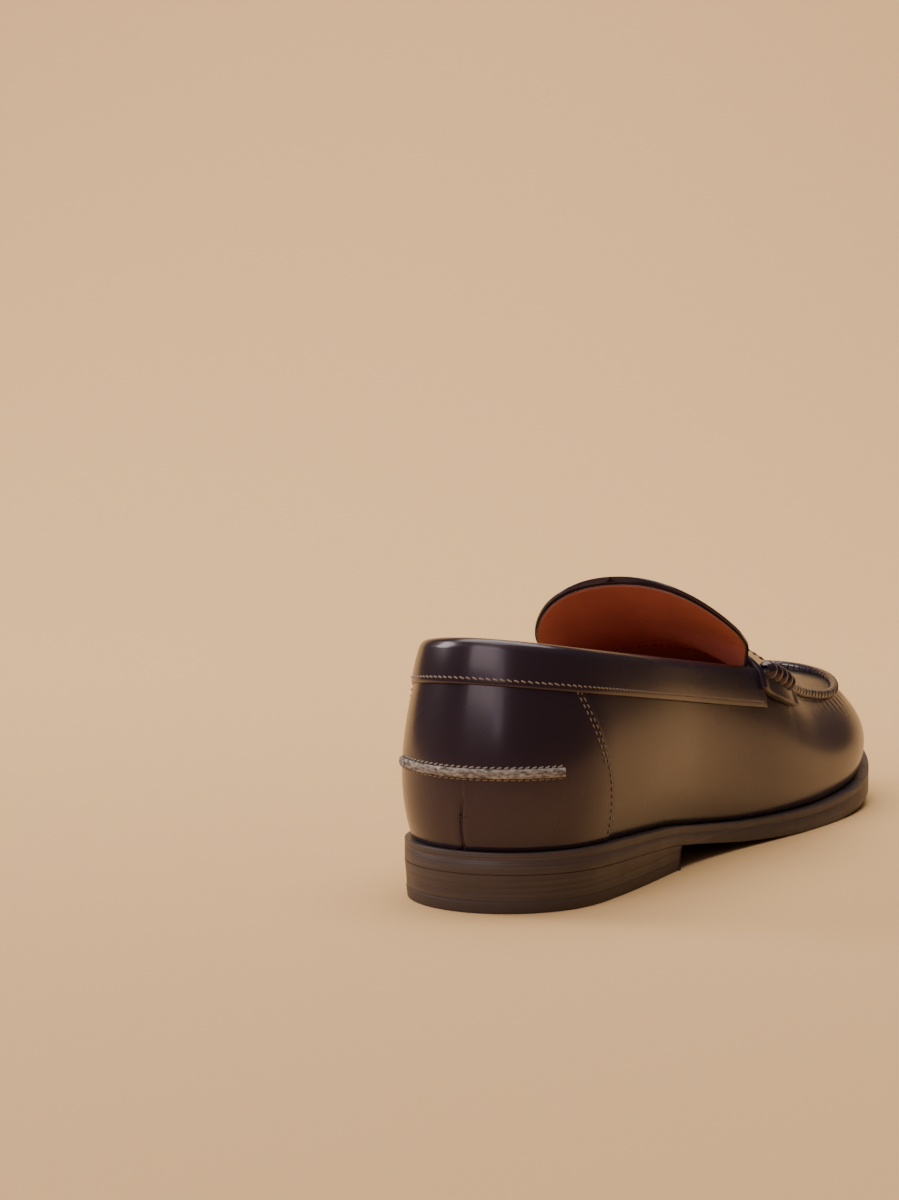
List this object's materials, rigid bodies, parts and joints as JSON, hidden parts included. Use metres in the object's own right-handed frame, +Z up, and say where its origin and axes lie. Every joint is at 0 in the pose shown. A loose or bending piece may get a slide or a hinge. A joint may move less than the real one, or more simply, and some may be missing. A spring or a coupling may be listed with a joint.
{
  "type": "penny loafer",
  "caption": "Right-foot penny loafer: stacked heel, moccasin apron, saddle strap with beef rolls, flexing lined tongue.",
  "frame": {"origin": "on the floor, under the middle of the shoe's length and width", "axes": "+X to the toe, +Y to the inner side of the foot, +Z up"},
  "size_m": [0.3026, 0.1007, 0.0912],
  "materials": {
    "upper_leather": "glossy polished dark brown",
    "raw_leather_edge": "worn raw edge",
    "lining_leather": "matt rust tan",
    "sole_leather": "matt dark brown edge",
    "insole_board": "matt fibre board",
    "cork": "matt",
    "stiffener": "matt",
    "foam": "matt",
    "rubber": "matt",
    "steel": "satin",
    "brass": "satin",
    "thread": "waxed thread",
    "light_thread": "waxed thread"
  },
  "bodies": {
    "shoe": {"apron_seam": "upper_leather", "apron_thread": "thread", "beef_roll_inner": "upper_leather", "beef_roll_outer": "upper_leather", "collar_binding": "upper_leather", "collar_padding": "foam", "collar_stitch": "light_thread", "cork_filler": "cork", "heel_counter": "stiffener", "heel_lower_lift": "sole_leather", "heel_nails": "brass", "heel_ridge": "raw_leather_edge", "heel_top_piece": "rubber", "heel_upper_lift": "sole_leather", "insole_board": "insole_board", "midsole": "sole_leather", "outsole": "sole_leather", "plug": "upper_leather", "plug_lining": "lining_leather", "quarter_lining": "lining_leather", "quarter_panel": "upper_leather", "quarter_stitches": "thread", "ridge_stitches": "light_thread", "roll_thread_inner": "thread", "roll_thread_outer": "thread", "saddle_strap": "upper_leather", "shank": "steel", "sock_liner": "lining_leather", "strap_stitches": "thread", "toe_puff": "stiffener", "tongue_root": "upper_leather", "tongue_root_stitch": "thread", "top_piece_pins": "steel", "vamp_lining": "lining_leather", "vamp_wall": "upper_leather"},
    "tongue": {"tongue": "upper_leather", "tongue_lining": "lining_leather", "tongue_edge_stitch": "thread"}
  },
  "joints": [
    {"name": "tongue_flex", "type": "hinge", "parent": "shoe", "child": "tongue", "pos_m": [0, 0, 0.0705], "axis": [0, 1, 0], "range_deg": [-6, 14], "stiffness_Nm_per_rad": 0.05}
  ]
}
